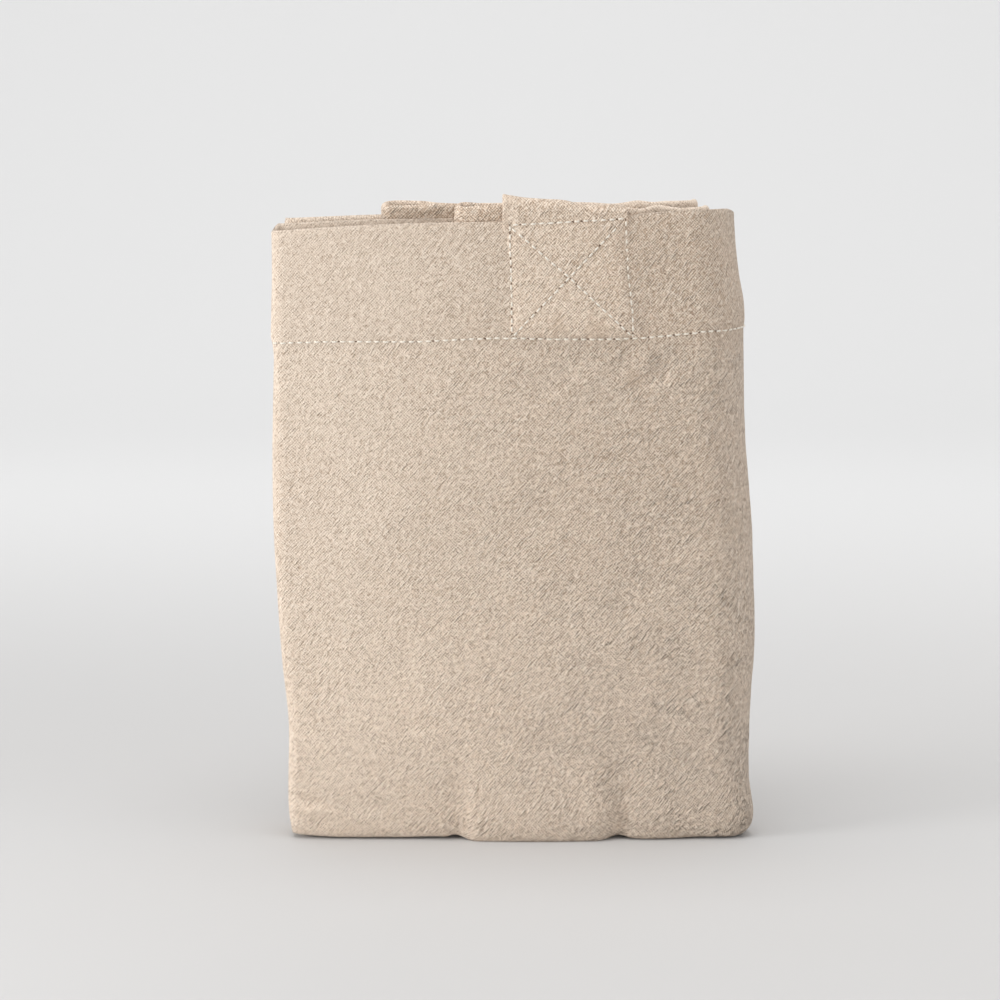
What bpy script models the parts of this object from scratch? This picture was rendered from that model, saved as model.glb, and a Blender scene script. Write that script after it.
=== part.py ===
# A cloth tote bag, folded into a packet that stands upright on a fold.
# The bag is a flat pocket, 400 mm wide and 400 mm high, with two strap handles sewn outside its mouth.
# Its lower half is folded up behind its upper half. That stack is folded behind at the right,
# and its loose end is folded in at the left, so it lies in three pages: front, inner and back.
# Sizes are in millimetres. Heights run up from the surface and depths run back from the packet's front.

import math

import bmesh
import bpy
import numpy as np

metres = 0.001

# The cloth, and the air between two layers that lie against each other
sheet = 1.2
air = 1.4
airAtWaist = 1.0
waistHeight = 98.0
waistReach = 42.0
innerAir = 0.6

# The pages, measured across the packet before it leans
pageLeft = -75.0
pageRight = 75.0
leftTurn = -67.0
innerPageEnd = 10.0

# The straps
strapWidth = 43.0
strapThickness = 2.4
hookThickness = 2.0
strapClearance = 0.5
seatGap = 0.35
hemDepth = 37.0
sewnFrom = 0.0
sewnTo = 43.0
sewnBackFrom = -65.0
sewnBackTo = -22.0
frontLoop = -16.8
backLoop = -40.3
backSink = 1.5

# The straps' upper edges on the front page, and the crest of the sewn end: (place across, height)
frontStrapTop = ((-17, 206.0), (20, 205.6), (60, 205.1))
backStrapTop = ((-41, 204.8), (20, 205.6), (60, 206.4))
crestLine = ((0, 209.0), (43, 207.2))
backCrestRise = 6.5
hookInside = 14.0

# Where each strap's turn starts and how far out it reaches
frontStrapTurn = (57.0, 67.5)
backStrapTurn = (54.0, 62.1)

# Room for the straps between the layers of each page, and the heights over which it opens
frontRoom = 7.0
frontRoomLeast = 1.4
frontRoomReach = (-110.0, -10.0)
behindRoom = 8.5
behindRoomLeast = 2.5
behindRoomReach = (-100.0, -35.0)
backPageRoom = 3.6
roomFrom = 34.0
roomTo = 141.0

# The packet's outline: (height, place across)
leftEdge = ((0, -70.0), (8, -71.4), (38, -71.9), (57, -73.7), (138, -75.9), (160, -75.1), (196, -76.7))
rightEdge = (
    (0, 75.5), (7, 77.6), (20, 76.4), (47, 76.8), (60, 77.9), (140, 74.3),
    (164, 74.0), (174, 73.5), (182, 71.9), (191, 70.7), (201, 69.9),
)

# The mouth's edge on the front page, and how much higher the two layers behind it reach: (place across, height)
mouthEdge = ((-75, 197.2), (-43, 199.3), (-17, 200.2), (0, 200.6), (43, 203.0), (60, 204.8))
secondStep = ((-75, 1.9), (-43, 1.1), (-17, 0.6), (60, 0.5))
thirdStep = ((-75, 3.3), (-43, 2.0), (0, 1.2), (60, 0.5))
backEdge = ((-67, 190.0), (0, 192.0), (60, 195.0))
innerPageHeight = 186.0

# Round the right turn the edge stays up over this share of the turn, then sinks to the back page's height
turnLevel = 0.25
turnDip = 0.4

# The fold that the packet stands on
turnHeight = 9.0
restingCut = 1.6
footGap = 1.0

# How far the front page's foot lifts off the surface: (place across, lift)
footLift = (
    (-75, 2.4), (-66, 1.6), (-40, 1.3), (-26, 1.5), (-20, 2.1), (-15, 0.3), (-8, 0.0), (18, 0.0),
    (26, 0.3), (31, 1.9), (37, 0.9), (60, 1.3), (75, 1.2),
)
footLiftHeight = 40.0
footLiftDepths = (9.0, 15.0)

# The front page bulges at its foot, over the middle
bulge = 2.6
bulgeMiddle = 5.0
bulgeReach = 30.0
bulgeHeight = 85.0

# The front page is slightly crowned from side to side
crown = 2.4

# How the stack lies over the depth: set back at the foot, gently waved, and curled in at the side seam
setBack = 3.4
unevenness = 0.7
waveAcross = 23.0
waveUp = (41.0, 31.0)
waveShift = 1.1
waveFrom = 25.0
seamRound = 3.6
seamCurl = 0.6
seamCurlReach = 3.5

# The middle of the finished packet, which becomes the origin
middleAcross = 0.65
middleDepth = 20.2

# Each of the cloth's faces, from the front wall's outside on the upper half
# through to the same wall's outside on the lower half, where it turns at the right.
tightReach = (75.0, 73.8, 72.4, 71.2, 69.8, 68.6, 67.2, 66.0)
openReach = (75.0, 73.8, 65.6, 64.4, 60.3, 59.1, 58.2, 57.0)
tightStart = (60.0,) * 8
openStart = (60.0, 60.0, 55.0, 55.0, 52.0, 52.0, 52.0, 52.0)
leftReach = (7.5, 6.3, 5.7, 4.5, 3.9, 2.7, 2.1, 0.9)


# Curves and blends

def curve(table, at):
    # A smooth curve through a short table, level past both ends.
    places = np.array([row[0] for row in table], float)
    values = np.array([row[1] for row in table], float)
    slopes = np.gradient(values, places)
    at = np.clip(at, places[0], places[-1])
    index = np.clip(np.searchsorted(places, at, side="right") - 1, 0, len(places) - 2)
    span = places[index + 1] - places[index]
    t = (at - places[index]) / span
    start = (1 + 2 * t) * (1 - t) ** 2 * values[index] + t * (1 - t) ** 2 * span * slopes[index]
    end = t * t * (3 - 2 * t) * values[index + 1] + t * t * (t - 1) * span * slopes[index + 1]
    return start + end


def rise(low, high, at):
    # 0 up to low, 1 from high on, smooth between.
    t = np.clip((np.asarray(at, float) - low) / (high - low), 0, 1)
    return t * t * (3 - 2 * t)


def mix(first, second, share):
    return first + (second - first) * share


# The stack of layers

def room(height):
    return rise(roomFrom, roomTo, height)


def restAir(height):
    return mix(airAtWaist, air, rise(0, waistReach, np.abs(height - waistHeight)))


def frontGaps(across, height):
    # Between the walls of the upper half, between the halves, and between the walls of the lower half.
    rest = restAir(height)
    mouth = mix(frontRoomLeast, frontRoom, rise(*frontRoomReach, across))
    behind = mix(behindRoomLeast, behindRoom, rise(*behindRoomReach, across))
    return mix(rest, mouth, room(height)), mix(rest, behind, room(height)), rest


def backGaps(across, height):
    rest = restAir(height)
    behind = mix(rest, backPageRoom, room(height))
    return behind, behind, mix(rest, innerAir, room(height))


def innerGaps(across, height):
    pressed = mix(restAir(height), innerAir, room(height))
    return pressed, pressed, pressed


def depthIn(gaps, face):
    # How far a face of the cloth lies into its page: two faces a sheet apart, then the next gap.
    depth = sheet * ((face + 1) // 2)
    for gap in gaps[: face // 2]:
        depth = depth + gap
    return depth


def front(face, across, height):
    wave = np.sin(across / waveAcross + height / waveUp[0]) * np.sin(height / waveUp[1] + waveShift)
    wave = wave * rise(0, waveFrom, height)
    fromCurl = np.clip(pageLeft + seamRound - across, 0, seamCurlReach)
    curl = seamRound - np.sqrt(seamRound**2 - fromCurl**2)
    lie = setBack * (1 - room(height)) + unevenness * wave + seamCurl * curl - swell(across, height)
    return lie + depthIn(frontGaps(across, height), face)


def swell(across, height):
    # How far the front page stands out: its crown from side to side, and the bulge at its foot.
    crowned = crown * np.clip(1 - (across / pageRight) ** 2, 0, 1)
    near = np.exp(-(((across - bulgeMiddle) / bulgeReach) ** 2))
    return crowned + bulge * near * (1 - rise(turnHeight, bulgeHeight, height))


def inner(face, across, height):
    depth = front(7, across, height) + swell(across, height) + restAir(height)
    return depth + depthIn(innerGaps(across, height), face)


def back(face, across, height):
    depth = inner(7, across, height) + restAir(height)
    return depth + depthIn(backGaps(across, height), 7) - depthIn(backGaps(across, height), face)


# The pages: a place along the folded width runs from 0 at the side seam on the front page to 5 at the other one

def turnedAcross(along, start, reach, face):
    section = np.clip(np.floor(along), 0, 4)
    part = along - section
    swing = np.sin(math.pi * part)
    return np.select(
        [section == 0, section == 1, section == 2, section == 3],
        [
            mix(pageLeft, start, part),
            start + (reach - start) * swing,
            mix(start, leftTurn, part),
            leftTurn - leftReach[face] * swing,
        ],
        mix(leftTurn, innerPageEnd, part),
    )


def place(face, along, height):
    # (across, depth) of a face of the cloth.
    along, height = np.broadcast_arrays(np.asarray(along, float), np.asarray(height, float))
    section = np.clip(np.floor(along), 0, 4)
    half = (1 - np.cos(math.pi * (along - section))) / 2
    start = mix(tightStart[face], openStart[face], room(height))
    reach = mix(tightReach[face], openReach[face], room(height))
    across = turnedAcross(along, start, reach, face)
    depth = np.select(
        [section == 0, section == 1, section == 2, section == 3],
        [
            front(face, across, height),
            mix(front(face, start, height), back(face, start, height), half),
            back(face, across, height),
            mix(back(face, leftTurn, height), inner(face, leftTurn, height), half),
        ],
        inner(face, across, height),
    )
    return across, depth


def topOf(face, along):
    # The height of the cloth's upper edge: the mouth's for the upper half, the bag's closed bottom for the lower.
    along = np.asarray(along, float)
    section = np.clip(np.floor(along), 0, 4)
    half = (1 - np.cos(math.pi * (along - section))) / 2
    start = openStart[face]
    step = secondStep if face in (2, 3) else thirdStep
    stepShare = 0 if face < 2 else 1

    def onFront(across):
        return curve(mouthEdge, across) + stepShare * curve(step, across)

    across = turnedAcross(along, start, openReach[face], face)
    sink = rise(turnLevel, 1, along - section)
    swing = np.sin(math.pi * (along - section))
    return np.select(
        [section == 0, section == 1, section == 2, section == 3],
        [
            onFront(across),
            mix(onFront(start), curve(backEdge, start), sink) - turnDip * swing,
            curve(backEdge, across),
            mix(curve(backEdge, leftTurn), innerPageHeight, half),
        ],
        innerPageHeight + 0 * across,
    )


def settled(across, depth, height):
    # The packet's lean and outline, and the lifts along its foot, as a point in metres.
    left = curve(leftEdge, height)
    right = curve(rightEdge, height)
    x = left + (across - pageLeft) / (pageRight - pageLeft) * (right - left)
    lift = np.maximum(curve(footLift, across), 0) * (1 - rise(0, footLiftHeight, height))
    lift = lift * (1 - rise(*footLiftDepths, depth))
    return np.stack(np.broadcast_arrays(x - middleAcross, depth - middleDepth, height + lift), axis=-1) * metres


# The bag

frontColumns = (0, 0.014, 0.045, 0.12, 0.21, 0.3, 0.39, 0.47, 0.555, 0.64, 0.72, 0.8, 0.87, 0.94)
upperShares = (0, 0.18, 0.55)
lowerHeights = (150, 138, 127, 116, 104, 86, 62, 34)
turnRows = 6
seamInset = 0.009
bottomInset = 1.6
bottomRidge = 0.9


def columnsOf(inset):
    turns = [1 + i / 8 for i in range(8)]
    backs = [2, 2.17, 2.34, 2.5, 2.64, 2.76, 2.88]
    lefts = [3 + i / 6 for i in range(6)]
    inners = [4, 4.3, 4.6, 5]
    columns = np.array([*frontColumns, *turns, *backs, *lefts, *inners], float)
    return np.clip(columns, inset, 5 - inset)


def rowHeights(top):
    upper = [mix(top, lowerHeights[0], share) for share in upperShares]
    return upper + [height + 0 * top for height in lowerHeights]


def wallPoints(face, inset, drop):
    # One face of a wall, from the mouth down, round the fold that the packet stands on, and up to the bag's bottom.
    along = columnsOf(inset)
    other = 7 - face
    cut = -restingCut + (0, sheet, sheet + footGap, 2 * sheet + footGap)[face]
    floor = cut + restingCut
    rows = []
    for height in rowHeights(topOf(face, along)):
        rows.append(settled(*place(face, along, height), height))
    near = np.array(place(face, along, turnHeight))
    far = np.array(place(other, along, turnHeight))
    for i in range(turnRows + 1):
        angle = math.pi * i / turnRows
        height = max(turnHeight - (turnHeight - cut) * math.sin(angle), floor)
        rows.append(settled(*mix(near, far, (1 - math.cos(angle)) / 2), height + 0 * along))
    for height in reversed(rowHeights(topOf(other, along) - drop)):
        rows.append(settled(*place(other, along, height), height))
    return rows


def addGrid(mesh, rows):
    return [[mesh.verts.new(point) for point in row] for row in rows]


def skin(mesh, first, second):
    # Faces between two lines of points of one length.
    for a, b, c, d in zip(first, first[1:], second[1:], second):
        mesh.faces.new((a, b, c, d))


def makeBag():
    mesh = bmesh.new()
    outerFront, outerBack = (addGrid(mesh, wallPoints(face, 0, 0)) for face in (0, 3))
    innerFront, innerBack = (addGrid(mesh, wallPoints(face, seamInset, bottomInset)) for face in (1, 2))
    for wall in (outerFront, outerBack, innerFront, innerBack):
        for upper, lower in zip(wall, wall[1:]):
            skin(mesh, upper, lower)
    for first, second in ((outerFront, outerBack), (innerFront, innerBack)):
        for end in (0, -1):
            skin(mesh, [row[end] for row in first], [row[end] for row in second])
    skin(mesh, innerFront[-1], innerBack[-1])
    ridge = []
    for a, b in zip(outerFront[-1], outerBack[-1]):
        ridge.append(mesh.verts.new((a.co + b.co) / 2))
        ridge[-1].co.z += bottomRidge * metres
    skin(mesh, outerFront[-1], ridge)
    skin(mesh, ridge, outerBack[-1])
    for end in (0, -1):
        mesh.faces.new((outerFront[-1][end], ridge[end], outerBack[-1][end]))
    rims = ((outerFront[0], innerFront[0]), (outerBack[0], innerBack[0]))
    for outer, inside in rims:
        skin(mesh, outer, inside)
    for end in (0, -1):
        mesh.faces.new((outerFront[0][end], innerFront[0][end], innerBack[0][end], outerBack[0][end]))
    return finish(mesh, "bag_body", clothMaterial)


# The handles

def strapLine(drop, side):
    # The strap's middle line, as (across, depth, height) points, at one distance below its upper edge.
    # side is 1 for the front handle, which lies behind the front wall, and 3 for the back one, behind the back wall.
    loop, start, reach, spread, upper = (
        (frontLoop, *frontStrapTurn, frontRoom, frontStrapTop)
        if side == 1
        else (backLoop, *backStrapTurn, behindRoom, backStrapTop)
    )
    nearDepth = strapClearance + strapThickness / 2
    farDepth = spread - nearDepth
    bend = (farDepth - nearDepth) / 2
    middle = loop + strapThickness / 2 + bend
    points = []
    for across in np.linspace(sewnTo, middle, 9)[:-1]:
        height = curve(upper, across) - drop
        points.append((across, front(side, across, height) + nearDepth, height))
    for i in range(7):
        angle = math.pi * i / 6
        across = middle - bend * math.sin(angle)
        gap = nearDepth + bend * (1 - math.cos(angle))
        height = curve(upper, across) - drop
        points.append((across, front(side, across, height) + gap, height))
    for across in np.linspace(middle, start, 11)[1:-1]:
        height = curve(upper, across) - drop
        points.append((across, front(side, across, height) + farDepth, height))
    last = curve(backEdge, start) - backSink - drop
    for i in range(11):
        angle = math.pi * i / 10
        half = (1 - math.cos(angle)) / 2
        level = mix(curve(upper, start) - drop, last, half)
        near = front(side, start, level) + farDepth
        far = back(side + 1, start, level) + backPageRoom / 2
        points.append((start + (reach - start) * math.sin(angle), mix(near, far, half), level))
    for across in np.linspace(start, sewnBackFrom, 11)[1:]:
        level = curve(backEdge, across) - backSink - drop
        points.append((across, back(side + 1, across, level) + backPageRoom / 2, level))
    return np.array(points)


def makeRibbon(side):
    # The strap on its edge, as one closed strip.
    mesh = bmesh.new()
    loops = []
    for share in (1, 0.65, 0.3, 0):
        points = strapLine(strapWidth * share, side)
        line, height = points[:, :2], points[:, 2]
        ahead = np.gradient(line, axis=0)
        ahead /= np.linalg.norm(ahead, axis=1)[:, None]
        normal = np.stack([ahead[:, 1], -ahead[:, 0]], axis=1)
        pair = []
        for sign in (-0.5, 0.5):
            edge = line + normal * sign * strapThickness
            pair.append([mesh.verts.new(p) for p in settled(edge[:, 0], edge[:, 1], height)])
        loops.append(pair)
    for (left, right), (leftUp, rightUp) in zip(loops, loops[1:]):
        skin(mesh, left, leftUp)
        skin(mesh, right, rightUp)
        for end in (0, -1):
            mesh.faces.new((left[end], right[end], rightUp[end], leftUp[end]))
    skin(mesh, *loops[0])
    skin(mesh, *loops[-1])
    return mesh


def makeHook(outside, inside, low, high, edge, crest):
    # The strap's sewn end: up the wall's outside, over the mouth's edge and down inside it.
    # outside and inside give the middle line's depth on each side, edge the mouth's height and crest the strap's.
    mesh = bmesh.new()
    grid = []
    for across in np.linspace(low, high, 6):
        rim = edge(across)
        peak = crest(across) - hookThickness / 2
        outer = outside(across, rim)
        into = inside(across, rim)
        bend = abs(into - outer) / 2
        line = []
        for height in np.linspace(rim - hemDepth, peak - bend, 6):
            line.append((outside(across, min(height, rim)), height))
        for i in range(1, 6):
            angle = math.pi * i / 6
            line.append((mix(outer, into, (1 - math.cos(angle)) / 2), peak - bend + bend * math.sin(angle)))
        for height in np.linspace(peak - bend, rim - hookInside, 4):
            line.append((inside(across, min(height, rim)), height))
        line = np.array(line)
        ahead = np.gradient(line, axis=0)
        ahead /= np.linalg.norm(ahead, axis=1)[:, None]
        normal = np.stack([ahead[:, 1], -ahead[:, 0]], axis=1) * hookThickness / 2
        ring = np.concatenate([line + normal, (line - normal)[::-1]])
        grid.append([mesh.verts.new(settled(across, depth, height)) for depth, height in ring])
    for first, second in zip(grid, grid[1:]):
        skin(mesh, first + first[:1], second + second[:1])
    for ring in (grid[0], grid[-1]):
        half = len(ring) // 2
        skin(mesh, ring[:half], ring[half:][::-1])
    return mesh


def makeFrontHandle():
    seat = seatGap + hookThickness / 2
    into = strapClearance + strapThickness / 2
    frontHook = makeHook(
        lambda across, height: front(0, across, height) - seat,
        lambda across, height: front(1, across, height) + into,
        sewnFrom + 0.3,
        sewnTo - 0.3,
        lambda across: curve(mouthEdge, across),
        lambda across: curve(crestLine, across),
    )
    backHook = makeHook(
        lambda across, height: back(0, across, height) + seat,
        lambda across, height: back(2, across, height) + backPageRoom / 2,
        sewnBackFrom + 0.3,
        sewnBackTo,
        lambda across: curve(backEdge, across),
        lambda across: curve(backEdge, across) + backCrestRise,
    )
    handle = finish(makeRibbon(1), "front_handle", strapMaterial)
    for number, hook in enumerate((frontHook, backHook)):
        joinOn(handle, finish(hook, f"hook_{number}", strapMaterial))
    return handle


# Objects

def finish(mesh, name, material):
    bmesh.ops.recalc_face_normals(mesh, faces=mesh.faces)
    if mesh.calc_volume(signed=True) < 0:
        bmesh.ops.reverse_faces(mesh, faces=mesh.faces)
    data = bpy.data.meshes.new(name)
    mesh.to_mesh(data)
    mesh.free()
    data.materials.append(material)
    data.shade_smooth()
    data.set_sharp_from_angle(angle=math.radians(40))
    obj = bpy.data.objects.new(name, data)
    bpy.context.scene.collection.objects.link(obj)
    return obj


def joinOn(obj, tool):
    union = obj.modifiers.new(tool.name, "BOOLEAN")
    union.operation = "UNION"
    union.object = tool
    tool.hide_render = True
    tool.display_type = "WIRE"


def cloth(name, colour, roughness):
    material = bpy.data.materials.new(name)
    material.use_nodes = True
    shader = material.node_tree.nodes["Principled BSDF"]
    shader.inputs["Base Color"].default_value = (*colour, 1)
    shader.inputs["Roughness"].default_value = roughness
    shader.inputs["Metallic"].default_value = 0
    material.diffuse_color = (*colour, 1)
    return material


for old in list(bpy.data.objects):
    bpy.data.objects.remove(old)

clothMaterial = cloth("washed_cloth", (0.53, 0.43, 0.34), 0.95)
strapMaterial = cloth("strap_cloth", (0.55, 0.45, 0.36), 0.95)

makeBag()
makeFrontHandle()
finish(makeRibbon(3), "back_handle", strapMaterial)
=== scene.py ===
# The looks of a cloth tote bag, folded into a packet that stands upright on a fold.
# Lengths are in millimetres, in the folded part's own frame: x across, y back, z up.

import math

import bmesh
import bpy
import numpy as np
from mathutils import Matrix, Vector
from mathutils.bvhtree import BVHTree


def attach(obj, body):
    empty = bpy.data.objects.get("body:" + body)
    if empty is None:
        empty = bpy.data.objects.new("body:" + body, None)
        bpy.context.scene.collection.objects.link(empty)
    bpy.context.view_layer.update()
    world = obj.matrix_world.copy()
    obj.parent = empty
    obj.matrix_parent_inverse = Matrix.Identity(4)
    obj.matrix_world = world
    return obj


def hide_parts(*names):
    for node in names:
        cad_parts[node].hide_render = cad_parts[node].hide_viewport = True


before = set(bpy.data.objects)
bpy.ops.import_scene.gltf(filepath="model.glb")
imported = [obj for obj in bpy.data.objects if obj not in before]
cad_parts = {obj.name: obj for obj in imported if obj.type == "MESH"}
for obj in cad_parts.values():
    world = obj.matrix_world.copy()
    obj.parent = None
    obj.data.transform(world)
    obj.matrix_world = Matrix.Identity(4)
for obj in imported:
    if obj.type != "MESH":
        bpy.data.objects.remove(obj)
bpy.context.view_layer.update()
metres = 0.001

# How the bag is folded, as in the part
fold = {
    "sheet": 1.2,
    "air": 1.4,
    "airAtWaist": 1.0,
    "waist": (98.0, 42.0),  # height, reach
    "innerAir": 0.6,
    "pageLeft": -75.0,
    "pageRight": 75.0,
    "leftTurn": -67.0,
    "innerPageEnd": 10.0,
    "turnHeight": 9.0,
    "restingCut": 1.6,
    "hemDepth": 37.0,
    "setBack": 3.4,
    "unevenness": 0.7,
    "wave": (23.0, 41.0, 31.0, 1.1),  # across, up, up again, shift
    "seamRound": 3.6,
    "seamCurl": (0.6, 3.5),  # share, reach
    "crown": 2.4,
    "middleAcross": 0.65,
    "middleDepth": 20.2,
    "turnLevel": 0.25,
    "turnDip": 0.4,
    "turnAhead": 0.23,  # how far the right turn leans to the front at the foot
    "footGap": 1.0,
    "footLiftHeight": 40.0,
    "footLiftDepths": (9.0, 15.0),
    "footTuck": (0.55, 1.3),  # the share of the lift that is kept, and how far back the foot sits for it
    "innerPageHeight": 186.0,
    "aheadHeights": (4.0, 45.0),
    "lagHeights": (150.0, 195.0),
    "lagAcross": (-75.0, -25.0),
    "waveFull": 25.0,  # how high up the waves and the crown are full
    "crownFull": 50.0,
}

# Room between the layers of the front page for the straps: (least, most, place it starts, place it is full)
frontRoom = (1.4, 7.0, -110.0, -10.0)
behindRoom = (2.5, 8.5, -100.0, -35.0)
backPageRoom = 3.6
roomHeights = (34.0, 141.0)

# The outline: (height, place across)
leftEdge = (
    (0, -71.4), (8, -72.3), (20, -72.3), (38, -71.9), (57, -73.7), (138, -75.9), (152, -75.4),
    (159, -75.3), (163, -75.9), (170, -75.8), (182, -75.5), (197, -75.5),
)
rightEdge = (
    (0, 76.4), (3, 77.6), (20, 76.6), (47, 77.4), (60, 78.3), (140, 74.3),
    (164, 74.0), (174, 73.5), (182, 71.9), (191, 70.7), (201, 69.9),
)
# The mouth and the layers behind it: (place across, height)
mouthEdge = ((-75, 197.2), (-43, 199.3), (-17, 200.2), (0, 200.6), (43, 202.7), (60, 204.0))
secondStep = ((-75, 1.9), (-43, 1.1), (-17, 0.6), (60, 0.5))
thirdStep = ((-75, 2.7), (-43, 1.4), (0, 0.8), (60, 0.5))
backEdge = ((-67, 190.0), (0, 192.0), (60, 195.0))
# How far the foot lifts off the surface: (place across, lift)
footLift = (
    (-75, 2.4), (-66, 1.6), (-40, 1.3), (-26, 1.4), (-18.4, 1.7), (-15.2, 0.3), (-11, 0.0), (18, 0.0),
    (26, 0.3), (31, 1.9), (37, 0.9), (60, 1.3), (75, 1.2),
)
# The bulge at the foot's middle: (how far out, place across, reach, height)
footBulge = (2.0, 5.0, 30.0, 85.0)

# The turns of the cloth's eight faces, from the front wall's outside on: how far right each one reaches near
# the foot (tight) and near the mouth (open), where that turn starts, and how far left each one reaches
tightReach = (75.0, 73.8, 72.4, 71.2, 69.8, 68.6, 67.2, 66.0)
openReach = (75.0, 73.8, 65.6, 64.4, 60.3, 59.1, 58.2, 57.0)
tightStart = 60.0
openStart = (60.0, 60.0, 55.0, 55.0, 52.0, 52.0, 52.0, 52.0)
leftReach = (7.5, 6.3, 5.7, 4.5, 3.9, 2.7, 2.1, 0.9)
# How far each face's left end lies back from the front one's, near the mouth
leftLag = (0.0, 0.0, 1.5, 1.5, 3.6, 3.6, 3.6, 3.6)


# Curves, blends and soft noise

def curve(table, at):
    # A smooth curve through a short table, level past both ends.
    places = np.array([row[0] for row in table], float)
    values = np.array([row[1] for row in table], float)
    slopes = np.gradient(values, places)
    at = np.clip(at, places[0], places[-1])
    index = np.clip(np.searchsorted(places, at, side="right") - 1, 0, len(places) - 2)
    span = places[index + 1] - places[index]
    t = (at - places[index]) / span
    level = mix(values[index], values[index + 1], t * t * (3 - 2 * t))
    return level + span * t * (1 - t) * ((1 - t) * slopes[index] - t * slopes[index + 1])


def rise(low, high, at):
    t = np.clip((np.asarray(at, float) - low) / (high - low), 0, 1)
    return t * t * (3 - 2 * t)


def mix(first, second, share):
    return first + (second - first) * share


def bell(distance, width):
    return np.exp(-((distance / width) ** 2))


def halfCircle(angle):
    # From 0 to 1, as an angle goes from 0 to half a turn.
    return (1 - np.cos(angle)) / 2


def lengthsAlong(line):
    return np.concatenate([[0], np.cumsum(np.linalg.norm(np.diff(line, axis=0), axis=1))])


def unit(vectors):
    return vectors / np.maximum(np.linalg.norm(vectors, axis=-1, keepdims=True), 1e-9)


def flatNormals(line):
    # Unit normals of a line in a plane, on its right.
    ahead = unit(np.gradient(line, axis=0))
    return np.stack([ahead[:, 1], -ahead[:, 0]], axis=1)


def sampled(at, lengths, values):
    # Values at some places along a line, from the values at its points.
    return np.stack([np.interp(at, lengths, column) for column in values.T], axis=-1)


def latticeValue(i, j, seed):
    n = np.sin(i * 127.1 + j * 311.7 + seed * 74.7) * 43758.5453
    return n - np.floor(n)


def ripple(u, v, seed):
    # Soft noise from -1 to 1, about one bump for each unit of u and v.
    i, j = np.floor(u), np.floor(v)
    a, b = rise(0, 1, u - i), rise(0, 1, v - j)
    upper = mix(latticeValue(i, j, seed), latticeValue(i + 1, j, seed), a)
    lower = mix(latticeValue(i, j + 1, seed), latticeValue(i + 1, j + 1, seed), a)
    return mix(upper, lower, b) * 2 - 1


def nearLine(line, x, z):
    # (distance to a line through some points, share of the way along it), for each x and z.
    best = np.full(np.shape(x), 1e9)
    share = np.zeros(np.shape(x))
    count = len(line) - 1
    for index, ((ax, az), (bx, bz)) in enumerate(zip(line, line[1:])):
        dx, dz = bx - ax, bz - az
        t = np.clip(((x - ax) * dx + (z - az) * dz) / (dx * dx + dz * dz), 0, 1)
        distance = np.hypot(x - ax - t * dx, z - az - t * dz)
        closer = distance < best
        best = np.where(closer, distance, best)
        share = np.where(closer, (index + t) / count, share)
    return best, share


# The folded layers, as in the part

def room(height):
    return rise(*roomHeights, height)


def restAir(height):
    waistHeight, waistReach = fold["waist"]
    return mix(fold["airAtWaist"], fold["air"], rise(0, waistReach, np.abs(height - waistHeight)))


def frontGaps(across, height):
    rest = restAir(height)
    gaps = []
    for least, most, start, full in (frontRoom, behindRoom):
        gaps.append(mix(rest, mix(least, most, rise(start, full, across)), room(height)))
    return gaps[0], gaps[1], rest


def backGaps(across, height):
    rest = restAir(height)
    behind = mix(rest, backPageRoom, room(height))
    return behind, behind, mix(rest, fold["innerAir"], room(height))


def innerGaps(across, height):
    pressed = mix(restAir(height), fold["innerAir"], room(height))
    return pressed, pressed, pressed


def depthIn(gaps, face):
    depth = fold["sheet"] * ((face + 1) // 2)
    for gap in gaps[: face // 2]:
        depth = depth + gap
    return depth


def swell(across, height):
    # How far the front page stands out: its crown from side to side, and the bulge at its foot.
    out, middle, reach, top = footBulge
    crowned = fold["crown"] * np.clip(1 - (across / fold["pageRight"]) ** 2, 0, 1)
    crowned = crowned * rise(0, fold["crownFull"], height)
    return crowned + out * bell(across - middle, reach) * (1 - rise(fold["turnHeight"], top, height))


def front(face, across, height):
    waveAcross, waveUp, waveUpAgain, shift = fold["wave"]
    wave = np.sin(across / waveAcross + height / waveUp) * np.sin(height / waveUpAgain + shift)
    wave = wave * rise(0, fold["waveFull"], height)
    radius = fold["seamRound"]
    share, reach = fold["seamCurl"]
    curl = radius - np.sqrt(radius**2 - np.clip(fold["pageLeft"] + radius - across, 0, reach) ** 2)
    lie = fold["setBack"] * (1 - room(height)) + fold["unevenness"] * wave + share * curl
    return lie - swell(across, height) + depthIn(frontGaps(across, height), face)


def inner(face, across, height):
    depth = front(7, across, height) + swell(across, height) + restAir(height)
    return depth + depthIn(innerGaps(across, height), face)


def back(face, across, height):
    depth = inner(7, across, height) + restAir(height)
    return depth + depthIn(backGaps(across, height), 7) - depthIn(backGaps(across, height), face)


def sectionOf(along):
    # (which of the five sections, how far along it, how far round it if it is a turn)
    section = np.clip(np.floor(along), 0, 4)
    part = along - section
    return section, part, halfCircle(math.pi * part)


def bySection(section, choices):
    return np.select([section == i for i in range(4)], choices[:4], choices[4])


def turnedAcross(along, start, reach, face):
    section, part, _ = sectionOf(along)
    swing = np.sin(math.pi * part)
    left = fold["leftTurn"]
    return bySection(section, [
        mix(fold["pageLeft"], start, part),
        start + (reach - start) * swing,
        mix(start, left, part),
        left - leftReach[face] * swing,
        mix(left, fold["innerPageEnd"], part),
    ])


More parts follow.
